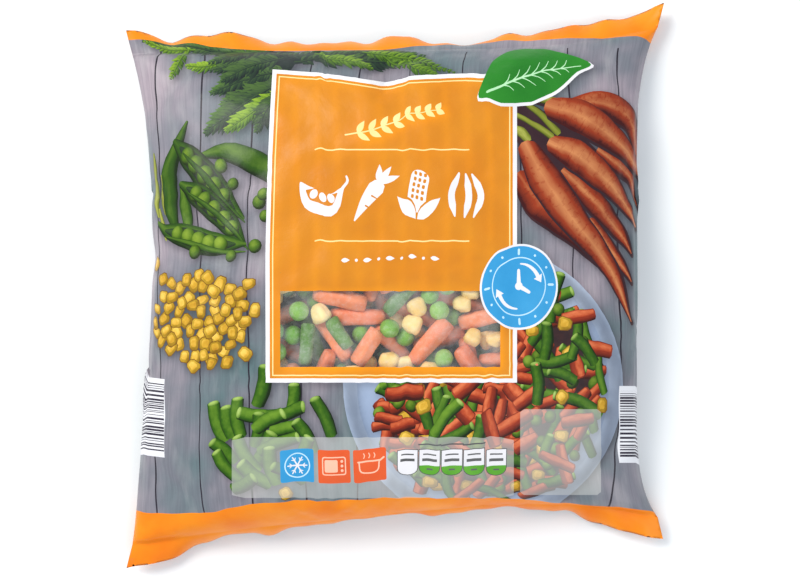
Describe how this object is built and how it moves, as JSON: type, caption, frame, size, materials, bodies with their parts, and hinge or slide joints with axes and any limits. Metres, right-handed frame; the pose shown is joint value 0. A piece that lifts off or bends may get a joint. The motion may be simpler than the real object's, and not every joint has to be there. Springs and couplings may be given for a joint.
{
  "type": "frozen vegetable bag",
  "caption": "Sealed pillow bag of printed film with a clear window, full of frozen mixed vegetables, lying on its back with its front up.",
  "frame": {"origin": "middle of the bag's box at the surface that it lies on", "axes": "+X across the bag to the right as its front is read, +Y up the bag to the top seal, +Z out of the shown front"},
  "size_m": [0.2671, 0.2808, 0.0506],
  "materials": {
    "film": "satin printed polythene",
    "window": "clear polythene, hazed with frost",
    "carrot": "frozen cut carrot, frosted",
    "pea": "frozen peas, frosted",
    "sweetcorn": "frozen sweetcorn, frosted",
    "green_bean": "frozen cut green beans, frosted",
    "filling": "the packed vegetables underneath"
  },
  "bodies": {
    "root": {"bag": "film"}
  },
  "joints": []
}
